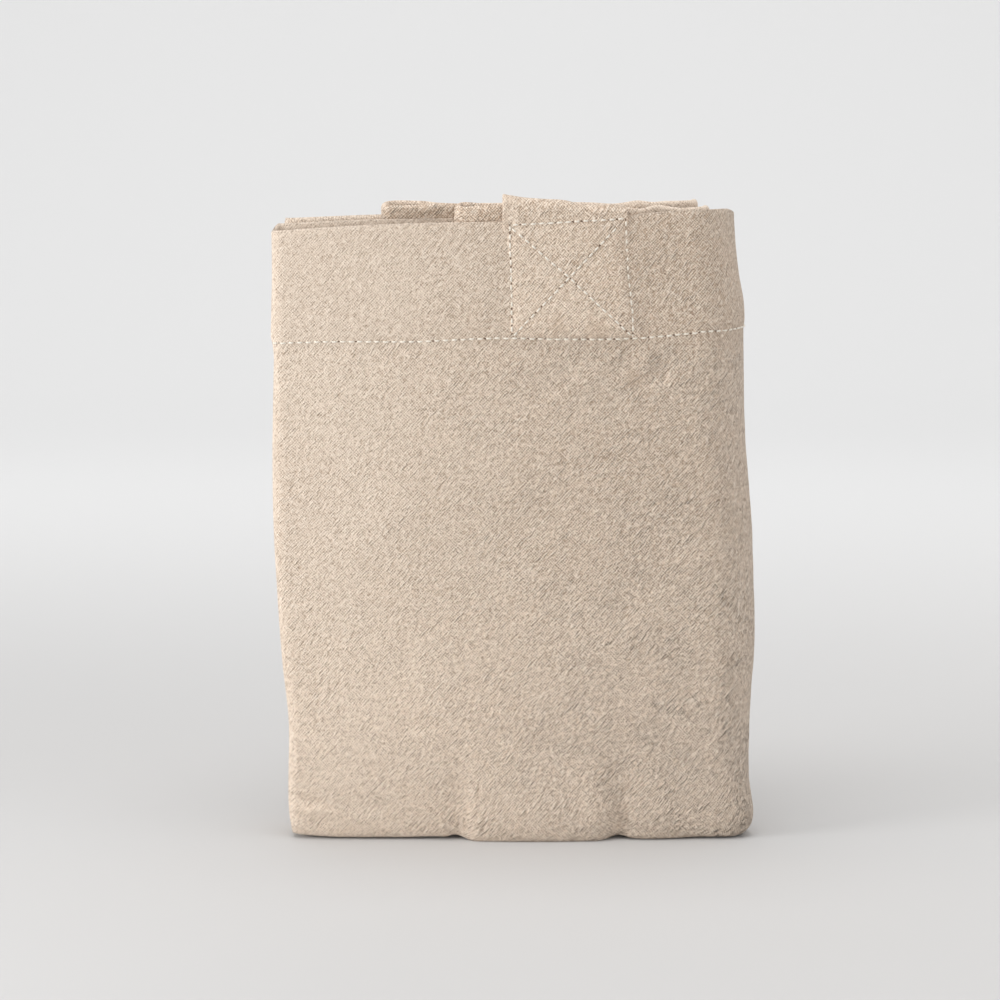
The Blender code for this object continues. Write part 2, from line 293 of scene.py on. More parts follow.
def place(face, along, height):
    # (across, depth) of a face of the cloth. along runs over five sections:
    # front page, right turn, back page, left turn and inner page.
    along, height = np.broadcast_arrays(np.asarray(along, float), np.asarray(height, float))
    section, part, half = sectionOf(along)
    ahead = fold["turnAhead"] * np.sin(math.pi * part) ** 2 * (1 - rise(*fold["aheadHeights"], height))
    start = mix(tightStart, openStart[face], room(height))
    reach = mix(tightReach[face], openReach[face], room(height))
    across = turnedAcross(along, start, reach, face)
    left = fold["leftTurn"]
    depth = bySection(section, [
        front(face, across, height),
        mix(front(face, start, height), back(face, start, height), half - ahead),
        back(face, across, height),
        mix(back(face, left, height), inner(face, left, height), half),
        inner(face, across, height),
    ])
    lag = leftLag[face] * rise(*fold["lagHeights"], height) * (1 - rise(*fold["lagAcross"], across))
    return across + lag * (section == 0), depth


def topOf(face, along):
    section, part, half = sectionOf(np.asarray(along, float))
    start, innerTop = openStart[face], fold["innerPageHeight"]
    step = secondStep if face in (2, 3) else thirdStep

    def onFront(across):
        return curve(mouthEdge, across) + (0 if face < 2 else curve(step, across))

    across = turnedAcross(along, start, openReach[face], face)
    dip = fold["turnDip"] * np.sin(math.pi * part)
    return bySection(section, [
        onFront(across),
        mix(onFront(start), curve(backEdge, start), rise(fold["turnLevel"], 1, part)) - dip,
        curve(backEdge, across),
        mix(curve(backEdge, fold["leftTurn"]), innerTop, half),
        innerTop + 0 * across,
    ])


def settled(across, depth, height):
    # The packet's lean, outline and lifted foot, as points in millimetres.
    left = curve(leftEdge, height)
    right = curve(rightEdge, height)
    x = left + (across - fold["pageLeft"]) / (fold["pageRight"] - fold["pageLeft"]) * (right - left)
    lift = np.maximum(curve(footLift, across), 0) * (1 - rise(0, fold["footLiftHeight"], height))
    lift = lift * (1 - rise(*fold["footLiftDepths"], depth))
    kept, tucked = fold["footTuck"]
    y = depth - fold["middleDepth"] + tucked * lift
    return np.stack(np.broadcast_arrays(x - fold["middleAcross"], y, height + kept * lift), axis=-1)


# The bag's cloth

bag = {
    "columns": (150, 18, 60, 12, 10),  # front page, right turn, back page, left turn, inner page
    "rows": (40, 96, 18, 26, 8),  # mouth to level, level to foot, round the foot, and up behind
    "rowCrowding": 1.25,  # more rows near the foot
    "level": 150.0,
    "footShift": (0.15, 0.85),  # where round the foot one wall's outline turns into the other's
    "measured": (0.3, 0.25),  # the row and the column that the cloth's own coordinates follow, as shares
    "matched": (12.0, 45.0),  # between these heights they come to match the real height
    "seamInset": 0.004,
    "bottomInset": 1.6,
    "bottomRidge": 0.9,
    "rimRise": 0.55,
    "rimSteps": 4,
    "rimSwing": 1.4,
    "cornerRise": 0.6,
    "hemRaise": 0.35,
    "hemStep": (-0.5, 1.6),
    "seamLevel": 165.0,
    "stitchDent": 0.34,
    "pucker": 0.17,
    "sag": 0.35,
    "frontTo": 1.05,  # the creases end here along the cloth
    "seamFade": 0.04,  # and fade in over this from the side seam
    "reliefTo": 2.4,  # no relief past this place down the wall
    "seamSteps": 8,
    "seamGroove": 1.7,
    "grooveWidth": 0.16,
    "grooveOpens": (0.15, 6.0),  # its share at the mouth, and how far down it is full
    "seamLobe": 0.35,
    "crinkle": 0.08,
    "crinkleAngle": 52,
    "crinklePitch": (9.0, 3.0),  # along a streak, across it
}
sharpFrom = 62  # degrees between faces

# The seam that holds the hem, on the front page: (x, height)
hemSeam = (
    (-76, 162.5), (-55, 163.2), (-33, 163.2), (-5, 164.4), (14, 164.1), (40, 164.4), (56, 165.8), (72, 166.3),
)

# Creases placed on the front page: (points x, z), half width, height (a trough is negative)
creases = (
    (((-30, 12), (-22.6, 6.4), (-12, -1.6)), 1, 0.75),
    (((-32, 10.8), (-24.6, 5), (-14.5, -2.6)), 1.2, -0.6),
    (((-37, 8), (-30, 4.2), (-22, -2)), 3.4, -0.45),
    (((34.6, 1), (34.4, 6.5), (36, 15)), 2.3, -1.25),
    (((36, 13), (41, 27)), 3, -0.35),
    (((29.5, 2), (28, 9), (24, 17)), 2.4, 0.35),
    (((-72.5, 13.4), (-65, 13.2), (-57, 10.4)), 1.2, -0.9),
    (((-70, 9.6), (-62, 10.4), (-54.5, 6.6)), 1.1, 0.7),
    (((-66, 6.5), (-58, 4.6)), 1.2, -0.6),
    (((-58, 15), (-48, 9.5)), 1.5, -0.5),
    (((41.6, 172), (41.4, 167), (41.9, 162.5)), 1.2, -0.6),
    (((43.4, 173), (43.6, 166)), 1.4, 0.35),
    (((38.6, 162), (33, 154.5), (25, 149)), 2, -0.65),
    (((41.6, 162.2), (40.8, 154), (37, 146)), 1.8, 0.5),
    (((42.6, 162.4), (47, 155), (48, 147)), 2, -0.6),
    (((44.5, 163.4), (53, 158.5), (60, 156.5)), 1.8, -0.55),
    (((1.5, 144), (14, 151), (26.7, 160.3)), 2.8, -0.6),
    (((8, 141), (21, 149.5), (31, 158)), 2.6, 0.5),
    (((26.7, 142.8), (41, 151), (55, 161.9)), 3, -0.65),
    (((34, 140), (48, 148.5), (63, 161)), 2.8, 0.5),
    (((-52, 150), (-40, 158.5)), 3, -0.22),
    (((-30, 141), (-12, 156)), 3.4, 0.24),
    (((69, 66), (71.5, 61)), 1.2, -0.35),
    (((52, 22), (66, 40)), 3.2, -0.4),
    (((45, 26), (60, 46)), 3.4, 0.28),
    (((58, 10), (72, 26)), 2.6, 0.3),
    (((62, 8), (74.5, 20)), 2.4, -0.4),
    (((5, 30), (24, 52)), 4, -0.32),
    (((-8, 22), (16, 50)), 4.2, 0.26),
    (((20, 60), (50, 96)), 5, -0.45),
    (((30, 58), (58, 92)), 4.6, 0.35),
    (((-50, 40), (-26, 74)), 5, -0.3),
    (((-60, 84), (-30, 120)), 6, 0.35),
    (((-14, 78), (12, 118)), 6, -0.35),
    (((44, 104), (66, 134)), 4.6, -0.4),
    (((62, 70), (72, 88)), 3.2, 0.35),
)


def spaced(counts):
    # Places over some sections, with this many spaces in each.
    places = [section + np.arange(count) / count for section, count in enumerate(counts)]
    return np.append(np.concatenate(places), float(len(counts)))


def downPlaces():
    down = spaced(bag["rows"])
    toFoot = (down >= 1) & (down < 2)
    down[toFoot] = 2 - (2 - down[toFoot]) ** bag["rowCrowding"]
    return down


def wallGrid(face, along, down, drop):
    # Points of one face of a wall, in rows: from the mouth down, round the foot and up to the bag's bottom.
    sheet, gap, turnHeight, level = fold["sheet"], fold["footGap"], fold["turnHeight"], bag["level"]
    other = 7 - face
    floor = (0, sheet, sheet + gap, 2 * sheet + gap)[face]
    cut = floor - fold["restingCut"]
    near, far = place(face, along, turnHeight), place(other, along, turnHeight)
    upperTop, lowerTop = topOf(face, along), topOf(other, along) - drop
    rows = []
    for value in down:
        stage = min(int(value), 4)
        part = value - stage
        if stage == 2:
            angle = math.pi * part
            height = max(turnHeight - (turnHeight - cut) * math.sin(angle), floor)
            across = mix(near[0], far[0], rise(*bag["footShift"], part))
            rows.append(settled(across, mix(near[1], far[1], halfCircle(angle)), height + 0 * along))
            continue
        ends = ((upperTop, level), (level, turnHeight), None, (turnHeight, level), (level, lowerTop))[stage]
        height = mix(*ends, part) + 0 * along
        rows.append(settled(*place(face if stage < 2 else other, along, height), height))
    return np.array(rows)


def normalsOf(grid):
    # Unit normals of a grid of points, out of the front page.
    return unit(np.cross(np.gradient(grid, axis=0), np.gradient(grid, axis=1)))


def hemHeightAt(along):
    across = place(0, along, bag["seamLevel"])[0]
    x = settled(across, 0 * across, bag["seamLevel"] + 0 * across)[..., 0]
    section, part, _ = sectionOf(along)
    behind = topOf(0, along) - fold["hemDepth"]
    turning = mix(curve(hemSeam, hemSeam[-1][0]), behind, rise(fold["turnLevel"], 1, part))
    return np.where(section == 0, curve(hemSeam, x), np.where(section == 1, turning, behind))


def clothPlace(grid):
    # The flat cloth's own coordinates: across from the side seam, and up. On the front page they are x and z.
    row, column = (int(count * share) for count, share in zip(grid.shape, bag["measured"]))
    across = lengthsAlong(grid[row]) + grid[row, 0, 0]
    up = (grid[0, column, 2] - lengthsAlong(grid[:, column]))[:, None]
    onUpper = (np.arange(len(grid)) < sum(bag["rows"][:2]))[:, None]
    upward = up + (grid[..., 2] - up) * rise(*bag["matched"], grid[..., 2]) * onUpper
    return np.broadcast_to(across, upward.shape), upward


def turned(u, v, degrees):
    # The coordinates along and across a direction at this angle.
    cosine, sine = math.cos(math.radians(degrees)), math.sin(math.radians(degrees))
    return u * cosine + v * sine, v * cosine - u * sine


def frontRelief(grid, along, down):
    # How far each point of the wall's outside stands above the plain fold.
    u, v = clothPlace(grid)
    x, z = grid[..., 0], grid[..., 2]
    under = hemHeightAt(along) - z
    relief = bag["hemRaise"] * (1 - rise(*bag["hemStep"], under))
    relief = relief - bag["stitchDent"] * bell(under, 1.0) * (0.75 + 0.5 * ripple(u / 3.1, 0.0, 4))
    fine, wide = ripple(u / 2.4, v / 14, 7), ripple(u / 5.2, v / 22, 9)
    relief = relief + bag["pucker"] * (fine * bell(under, 4.2) + 0.8 * wide * bell(under + 2, 8.0))
    onFront = (along < bag["frontTo"]) * rise(0, bag["seamFade"], along)
    for line, width, high in creases:
        distance, share = nearLine(line, x, z)
        faded = np.sin(math.pi * np.clip(share, 0.12, 0.88)) * onFront
        relief = relief + high * bell(distance, width) * faded
    forward, sideways = turned(u, v, bag["crinkleAngle"])
    long, short = bag["crinklePitch"]
    streak = ripple(forward / long, sideways / short, 2)
    streak = streak + 0.6 * ripple(forward / (long * 0.6), sideways / 1.9, 3)
    cross = ripple((u * 0.5 - v * 0.85) / 8.0, (u * 0.85 + v * 0.5) / 2.8, 5)
    patch = (0.65 + 0.5 * rise(-40, 60, x)) * (0.6 + 0.4 * rise(0, 6, under))
    patch = patch * (0.55 + 0.45 * ripple(u / 26, v / 21, 6))
    relief = relief + bag["crinkle"] * (streak + 0.5 * cross) * patch
    relief = relief + bag["sag"] * ripple(u / 31, v / 27, 11) * rise(0, 10, z)
    return relief * (down < bag["reliefTo"])[:, None]


def linked(name, data):
    thing = bpy.data.objects.new(name, data)
    bpy.context.scene.collection.objects.link(thing)
    return thing


def coordsOf(u, v, third=0.0):
    return np.stack(np.broadcast_arrays(u, v, third), axis=-1)


def endsOf(rows, end):
    return [row[end] for row in rows]


class Pieces:
    # Vertices and faces of one mesh, with the cloth's own coordinates at each vertex.
    def __init__(self):
        self.points, self.coords, self.faces = [], [], []

    def add(self, points, coords):
        # A line of points; returns their indices.
        start = len(self.points)
        self.points.extend(map(tuple, points))
        self.coords.extend(map(tuple, coords))
        return list(range(start, len(self.points)))

    def addGrid(self, grid, u, v):
        return [self.add(points, row) for points, row in zip(grid, coordsOf(u, v))]

    def between(self, first, second):
        # Faces between two lines. The second may have half of the first one's spaces.
        if len(first) == len(second):
            self.faces.extend(zip(first, first[1:], second[1:], second))
            return
        for i in range(len(second) - 1):
            self.faces.append((*first[2 * i : 2 * i + 3], second[i + 1], second[i]))

    def skin(self, lines):
        for first, second in zip(lines, lines[1:]):
            self.between(first, second)

    def tube(self, rings):
        # A skin round some closed rings, with a face at both ends.
        self.skin([ring + ring[:1] for ring in rings])
        self.faces.extend((rings[0], rings[-1]))

    def fan(self, ring, lift):
        # A closed ring filled from its middle, which stands a little above it.
        middle = np.mean([self.points[i] for i in ring], axis=0) + (0, 0, lift)
        centre = self.add([middle], [self.coords[ring[0]]])[0]
        self.faces.extend((first, second, centre) for first, second in zip(ring, ring[1:] + ring[:1]))

    def made(self, name, material):
        mesh = bpy.data.meshes.new(name)
        mesh.from_pydata([tuple(c * metres for c in p) for p in self.points], [], self.faces)
        attribute = mesh.attributes.new("clothPlace", "FLOAT_VECTOR", "POINT")
        attribute.data.foreach_set("vector", np.array(self.coords, np.float32).ravel())
        work = bmesh.new()
        work.from_mesh(mesh)
        bmesh.ops.recalc_face_normals(work, faces=work.faces)
        if work.calc_volume(signed=True) < 0:
            bmesh.ops.reverse_faces(work, faces=work.faces)
        work.to_mesh(mesh)
        work.free()
        mesh.shade_smooth()
        mesh.set_sharp_from_angle(angle=math.radians(sharpFrom))
        mesh.materials.append(material)
        return linked(name, mesh)


def bridged(first, second, count, offset):
    # Lines of points between two lines, moved by offset(share), which is one vector for each point.
    return [mix(first, second, i / count) + offset(i / count) for i in range(1, count)]


def arched(high):
    return lambda share: np.array([0, 0, high * math.sin(math.pi * share)])


def finer(line):
    # A half line with its missing points put back, halfway between.
    full = np.empty((2 * len(line) - 1, 3))
    full[::2] = line
    full[1::2] = (line[1:] + line[:-1]) / 2
    return full


def makeBag(material):
    along, down = spaced(bag["columns"]), downPlaces()
    halfAlong, halfDown = along[::2], down[::2]
    inset = np.clip(halfAlong, bag["seamInset"], 5 - bag["seamInset"])
    outside = wallGrid(0, along, down, 0)
    u, v = clothPlace(outside)
    outside = outside + normalsOf(outside) * frontRelief(outside, along, down)[..., None]
    outside[..., 2] = np.maximum(outside[..., 2], 0)
    behind = wallGrid(3, halfAlong, halfDown, 0)
    insideFront, insideBack = (wallGrid(face, inset, halfDown, bag["bottomInset"]) for face in (1, 2))
    halfU, halfV = u[::2, ::2], v[::2, ::2]

    pieces = Pieces()
    walls = [pieces.addGrid(outside, u, v)]
    walls += [pieces.addGrid(grid, halfU, halfV) for grid in (behind, insideFront, insideBack)]
    for wall in walls:
        pieces.skin(wall)
    front0, back0, inFront, inBack = walls

    def addRim(first, second, count, offset, coords):
        # Over a rim the cloth's own coordinates swing out and back, so its grain doesn't turn into stripes.
        placed = []
        for index, line in enumerate(bridged(first, second, count, offset), start=1):
            away = bag["rimSwing"] * math.sin(math.pi * index / count)
            placed.append(pieces.add(line, coords + (away, away, 0)))
        return placed

    # The rounded rims of the mouth
    count, rimArch = bag["rimSteps"], arched(bag["rimRise"])
    rims = [
        addRim(outside[0], finer(insideFront[0]), count, rimArch, coordsOf(u[0], v[0])),
        addRim(behind[0], insideBack[0], count, rimArch, coordsOf(halfU[0], halfV[0])),
    ]
    pieces.skin([front0[0], *rims[0], inFront[0]])
    pieces.skin([back0[0], *rims[1], inBack[0]])

    # The closed bottom of the bag, at the top of its lower half
    coords = coordsOf(u[-1], v[-1])
    ridge = addRim(outside[-1], finer(behind[-1]), count, arched(bag["bottomRidge"]), coords)
    pieces.skin([front0[-1], *ridge, back0[-1]])
    pieces.skin([inFront[-1], inBack[-1]])

    # The side seams: two rounded lobes with a groove between
    grooveLeast, grooveFull = bag["grooveOpens"]
    for end in (0, -1):
        outward = outside[:, end] - outside[:, 1 if end == 0 else -2]
        outward[:, 2] = 0
        outward = unit(outward) * (1, 0, 1)
        opened = mix(grooveLeast, 1, rise(0, grooveFull, outside[0, end, 2] - outside[:, end, 2]))[:, None]

        def lobe(share):
            bulge = bag["seamLobe"] * abs(math.sin(2 * math.pi * share))
            return outward * (bulge - bag["seamGroove"] * opened * bell(share - 0.5, bag["grooveWidth"]))

        coords = coordsOf(u[:, end], v[:, end])
        strip = addRim(outside[:, end], finer(behind[:, end]), bag["seamSteps"], lobe, coords)
        pieces.skin([endsOf(front0, end), *strip, endsOf(back0, end)])
        pieces.skin([endsOf(inFront, end), endsOf(inBack, end)])
        mouth = [front0[0][end], *endsOf(rims[0], end), inFront[0][end]]
        mouth += [inBack[0][end], *endsOf(rims[1], end)[::-1], back0[0][end]]
        pieces.fan(mouth + endsOf(strip, 0)[::-1], bag["cornerRise"])
        closed = [front0[-1][end], *endsOf(ridge, end), back0[-1][end]]
        pieces.faces.append(closed + endsOf(strip, -1)[::-1])
    return pieces.made("bag_cloth", material), outside, along


# The handles

handle = {
    "width": 43.0,
    "thickness": 2.4,
    "edgeRound": 0.6,  # how wide an edge's rounding is, as a share of the thickness
    "clearance": 0.5,
    "runTo": 43.0,
    "sewnFront": (-0.6, 39.8),
    "sewnBack": (-64.7, -24.0),
    "sewnColumns": 42,
    "sewnRows": (46, 12, 8),  # up the outside, over the mouth's edge, down inside
    "sewnLength": 60.0,  # how far up a sewn end its relief and pressed edges go at most
    "sewnStart": 164.0,  # where the sewn end's own cloth coordinates begin
    "plyThickness": 0.95,  # the sewn end, pressed flat
    "pressedEdge": (0.95, 1.8),  # how deep, how wide
    "pull": 0.3,  # how far the stitches pull it in
    "pullReach": 0.9,
    "backSink": 1.5,
    "edgeWave": 0.45,
    "insideRun": 14.0,
    "nearLean": (0.3, 1.7),  # front handle, back handle
    "leanReach": 4.0,
    "farRise": 0.3,
    "riseReach": 9.0,  # how far down the rise and the edge's waves reach
    "runPoints": (60, 15, 70, 23, 60),  # near run, loop, far run, right turn, back run
    "backRise": 6.5,
}
frontStrapTop = ((-17, 206.0), (20, 205.6), (42, 204.7), (60, 204.7))
backStrapTop = ((-41, 205.8), (-20, 205.75), (-8, 205.35), (20, 205.2), (40, 205.1), (50, 205.8), (60, 206.5))
crestLine = ((0, 209.6), (4, 208.9), (13, 207.9), (19.6, 207.6), (26, 206.2), (32.5, 206.4), (39, 205.9))
# For each handle: the loop's place, the turn's start and reach, the room that it lies in, and its upper edge
frontRun = (-16.4, 57.0, 66.9, 7.0, frontStrapTop)
backRun = (-40.3, 54.0, 62.9, 8.5, backStrapTop)

# Stitch lines of the sewn end, on the front page: (x, z)
boxLines = (
    ((-1.3, 200), (12, 200.7), (32.9, 201.8), (34.4, 201.9)),
    ((-1.8, 200.2), (-1.2, 182), (-1, 164.6)),
    ((34.4, 201.6), (35.3, 184), (36.7, 172), (36.9, 164.6)),
    ((-1.4, 199.3), (17, 183.4), (36.6, 165)),
    ((-0.8, 165), (17, 183.7), (31.8, 199.4)),
)


def strapLine(drop, side):
    # The middle line of a strap on its edge, as (across, depth, height), this far below its upper edge.
    loop, start, reach, spread, upper = frontRun if side == 1 else backRun
    nearDepth = handle["clearance"] + handle["thickness"] / 2
    farDepth = spread - nearDepth
    bend = (farDepth - nearDepth) / 2
    middle = loop + handle["thickness"] / 2 + bend
    lean = handle["nearLean"][side == 3] * bell(drop, handle["leanReach"])
    farRise = handle["farRise"] * math.exp(-drop / handle["riseReach"])
    sunk = handle["backSink"] + drop
    nearPoints, loopPoints, farPoints, turnPoints, backPoints = handle["runPoints"]
    runs = []

    def lie(across, share):
        # A run among the front page's layers. share says how far it has turned to the far side.
        height = curve(upper, across) - drop
        depth = front(side, across, height) + mix(nearDepth - lean, farDepth, share)
        runs.append((across, depth, height + farRise * (share - 0.5)))

    lie(np.linspace(handle["runTo"], middle, nearPoints + 1)[:-1], 0)
    angle = np.linspace(0, math.pi, loopPoints)
    lie(middle - bend * np.sin(angle), halfCircle(angle))
    lie(np.linspace(middle, start, farPoints + 1)[1:-1], 1)
    angle = np.linspace(0, math.pi, turnPoints)
    height = mix(curve(upper, start) - drop, curve(backEdge, start) - sunk, rise(0.38, 1, angle / math.pi))
    near = front(side, start, height) + farDepth
    far = back(side + 1, start, height) + backPageRoom / 2
    runs.append((start + (reach - start) * np.sin(angle), mix(near, far, halfCircle(angle)), height))
    across = np.linspace(start, handle["sewnBack"][0], backPoints + 1)[1:]
    height = curve(backEdge, across) - sunk
    runs.append((across, back(side + 1, across, height) + backPageRoom / 2, height))
    return np.concatenate([np.stack(np.broadcast_arrays(*run), axis=1) for run in runs])


def roundness(distance, thickness):
    # From 0 at an edge to 1 where its rounding ends.
    return np.sqrt(np.clip(1 - (1 - np.clip(distance / (thickness * handle["edgeRound"]), 0, 1)) ** 2, 0, 1))


def addRibbon(pieces, side, seed):
    # The strap as a closed strip with rounded edges and a slightly wavy upper one.
    width, thickness = handle["width"], handle["thickness"]
    nearSide, farSide = [], []
    for share in (0.0, 0.008, 0.025, 0.06, 0.12, *np.linspace(0.2, 0.94, 10), 0.975, 0.992, 1.0):
        drop = width * share
        points = strapLine(drop, side)
        line, height = points[:, :2], points[:, 2]
        normal, length = flatNormals(line), lengthsAlong(line)
        body = thickness * (0.25 + 0.75 * roundness(min(drop, width - drop), thickness))
        puckered = 0.5 + 0.4 * rise(38, 46, line[:, 0]) * (1 - rise(48, 55, line[:, 0]))
        wave = handle["edgeWave"] * (1 + puckered) * math.exp(-drop / handle["riseReach"])
        wave = wave * ripple(length / 7.5, share * 3, seed)
        lifted = height + puckered * ripple(length / 7.0, 0.0, seed + 3) * math.exp(-drop / 5)
        for sign, lines in ((-0.5, nearSide), (0.5, farSide)):
            swollen = 1 + 0.12 * ripple(length / 5.0, sign, seed + 1) * math.exp(-drop / 4)
            moved = line + normal * (sign * body * swollen + wave)[:, None]
            lines.append(pieces.add(settled(moved[:, 0], moved[:, 1], lifted), coordsOf(length, drop)))
    pieces.skin(nearSide)
    pieces.skin(farSide)
    pieces.between(nearSide[0], farSide[0])
    pieces.between(nearSide[-1], farSide[-1])
    for end in (0, -1):
        pieces.faces.append(endsOf(nearSide, end) + endsOf(farSide, end)[::-1])


def addSewnEnd(pieces, outside, inside, span, edges, relief):
    # The strap's sewn end: up the wall's outside, over the mouth's edge and down inside it.
    # edges are the mouth's edge, the strap's crest and its lower end, each one a table and an offset.
    low, high = span
    thickness = handle["plyThickness"]
    deep, wide = handle["pressedEdge"]
    upRows, overRows, downRows = handle["sewnRows"]
    angles = math.pi * np.arange(1, overRows) / overRows
    rings = []
    for share in (0, 0.006, 0.02, *np.linspace(0.04, 0.96, handle["sewnColumns"]), 0.98, 0.994, 1):
        across = mix(low, high, share)
        sideEdge = min(share, 1 - share) * (high - low)
        rim, crest, bottom = (curve(table, across) + offset for table, offset in edges)
        peak = crest - thickness / 2
        outer, into = outside(across, rim), inside(across, rim)
        bend = abs(into - outer) / 2
        ups = np.linspace(bottom, peak - bend, upRows)
        downs = np.linspace(peak - bend, rim - handle["insideRun"], downRows)
        heights = np.concatenate([ups, peak - bend + bend * np.sin(angles), downs])
        over = mix(outer, into, halfCircle(angles))
        depths = [outside(across, np.minimum(ups, rim)), over, inside(across, np.minimum(downs, rim))]
        line = np.stack([np.concatenate(depths), heights], axis=1)
        normal, length = flatNormals(line), lengthsAlong(line)
        facing = 1 if into > outer else -1
        taper = roundness(np.minimum(length, length[-1] - length), thickness)
        body = thickness / 2 * (0.2 + 0.8 * roundness(sideEdge, thickness) * taper)
        onOutside = (length < handle["sewnLength"]) * (heights < crest)
        pressed = deep * np.maximum(bell(sideEdge, wide), bell(length, wide))
        pressed = pressed * onOutside * rise(0, 4, rim - heights)
        x = settled(across, outer, heights)[..., 0]
        raised = relief(x, heights) * onOutside * rise(0, 1.5, sideEdge) - pressed
        out = line - facing * normal * (body + raised)[:, None]
        within = line + facing * normal * (body + pressed)[:, None]
        ring = np.concatenate([out, within[::-1]])
        upward = np.concatenate([length, length[::-1]]) + handle["sewnStart"]
        rings.append(pieces.add(settled(across, ring[:, 0], ring[:, 1]), coordsOf(across, upward)))
    pieces.tube(rings)


def plyRelief(x, z, seed):
    return 0.12 * ripple(x / 9, z / 8, seed) + 0.08 * ripple(x / 3.4, z / 4.2, seed + 1)


def boxRelief(x, z):
    # The strap's sewn end is pulled in along its stitches and swells between them.
    pulls = [bell(nearLine(line, x, z)[0], handle["pullReach"]) for line in boxLines]
    return plyRelief(x, z, 21) - handle["pull"] * sum(pulls)


def makeFrontHandle(material):
    pieces = Pieces()
    seat = handle["plyThickness"] / 2 + bag["hemRaise"]
    into = handle["clearance"] + handle["thickness"] / 2
    addRibbon(pieces, 1, 31)
    addSewnEnd(
        pieces,
        lambda across, height: front(0, across, height) - seat,
        lambda across, height: front(1, across, height) + into,
        handle["sewnFront"],
        ((mouthEdge, 0), (crestLine, 0), (hemSeam, 0.5)),
        boxRelief,
    )
    addSewnEnd(
        pieces,
        lambda across, height: back(0, across, height) + seat,
        lambda across, height: back(2, across, height) + backPageRoom / 2,
        handle["sewnBack"],
        ((backEdge, 0), (backEdge, handle["backRise"]), (backEdge, -fold["hemDepth"] - 0.9)),
        lambda x, z: plyRelief(x, z, 24),
    )
    return pieces.made("front_strap", material)


def makeBackHandle(material):
    pieces = Pieces()
    addRibbon(pieces, 3, 43)
    return pieces.made("back_strap", material)


# The sewing

sewing = {
    "pitch": 2.7,
    "thread": 0.31,  # radius
    "hole": 0.15,  # the share of a stitch's pitch at each end that its hole takes
    "holeRadius": 0.34,
    "holeSides": 8,
    "holeMark": 5.0,  # the third coordinate from which the thread is drawn as a dark hole, in painted shade
    "sides": 6,
    "rings": 7,
    "drawStep": 0.4,  # between the points of a drawn line on the surface
    "backBox": (2.2, 154.5, 188.5, 1.0),  # inset, bottom, top, rise to the right
    "twists": 14.0,
    "threadColours": ((0.74, 0.66, 0.55, 1), (0.95, 0.90, 0.82, 1)),
    # painted shade: the dark inside of a needle hole
    "holeShade": (0.16, 0.105, 0.07, 1),
}


def addStitches(pieces, path, normals, seed):
    # A row of stitches along a path, each one a short thread that dips into the cloth at both ends.
    radius, hole, count = sewing["thread"], sewing["hole"], sewing["rings"]
    length = lengthsAlong(path)
    knots = np.linspace(0, length[-1], max(1, int(round(length[-1] / sewing["pitch"]))) + 1)
    turns = 2 * math.pi * np.arange(sewing["sides"]) / sewing["sides"]
    arch = np.sin(math.pi * np.linspace(0, 1, count))
    for index, (start, end) in enumerate(zip(knots, knots[1:])):
        drift = latticeValue(index, seed, 1.0) - 0.5
        at = mix(start, end, np.linspace(hole, 1 - hole + 0.08 * drift, count))
        line, normal = sampled(at, length, path), unit(sampled(at, length, normals))
        ahead = unit(np.gradient(line, axis=0))
        sideways = np.cross(ahead, normal)
        centre = line + normal * (radius * (1.9 * arch**0.6 - 0.95))[:, None] + sideways * (0.12 * drift)
        rings = []
        for ring in range(count):
            thick = radius * (0.55 + 0.45 * arch[ring] ** 0.5)
            around = sideways[ring] * np.cos(turns)[:, None] + normal[ring] * np.sin(turns)[:, None] * 0.8
            rings.append(pieces.add(centre[ring] + around * thick, coordsOf(at[ring], turns)))
        pieces.tube(rings)
        addHole(pieces, line[0], normal[0], sideways[0], ahead[0], latticeValue(index, seed, 2.0))


def addHole(pieces, at, normal, sideways, ahead, dark):
    # A needle hole: a small cone that opens just above the cloth, painted dark as painted shade. Its third
    # coordinate says how dark it is.
    radius = sewing["holeRadius"] * (0.6 + 0.5 * dark)
    turns = 2 * math.pi * np.arange(sewing["holeSides"]) / sewing["holeSides"]
    middle = at - ahead * radius * 0.9
    around = sideways * np.cos(turns)[:, None] * 0.8 + ahead * np.sin(turns)[:, None]
    marks = coordsOf(0.0, turns, sewing["holeMark"] + 0.15 + dark)
    rim = pieces.add(middle + normal * 0.05 + around * radius, marks)
    pieces.tube([rim, pieces.add(middle - normal * 0.3 + around * radius * 0.3, marks)])


def seamPath(grid, heights):
    # Points and normals where a wall's outside crosses the given heights, column by column.
    normal = normalsOf(grid)
    upper = grid[: sum(bag["rows"][:2])]
    points, outs = [], []
    for column in range(len(heights) - bag["columns"][-1]):
        z = upper[:, column, 2]
        row = np.interp(-heights[column], -z, np.arange(len(z)))
        low = int(row)
        points.append(mix(upper[low, column], upper[low + 1, column], row - low))
        outs.append(mix(normal[low, column], normal[low + 1, column], row - low))
    return np.array(points), np.array(outs)


def onSurface(tree, line, way):
    # Points and normals where a line, drawn in x and z, falls on a surface seen along y.
    points, normals = [], []
    step, farAway = sewing["drawStep"], 200.0
    corners = np.array(line, float)
    lengths = lengthsAlong(corners)
    for at in np.arange(0, lengths[-1] + step / 2, step):
        x, z = sampled(at, lengths, corners)
        start = Vector((x, -farAway * way, z)) * metres
        hit, normal, _, _ = tree.ray_cast(start, Vector((0, way, 0)))
        if hit is None:
            continue
        points.append([c / metres for c in hit])
        normals.append(list(normal if normal.y * way < 0 else -normal))
    return np.array(points), np.array(normals)


def makeHemStitches(material, grid, along):
    pieces = Pieces()
    addStitches(pieces, *seamPath(grid, hemHeightAt(along)), 3)
    return pieces.made("hem_stitches", material)


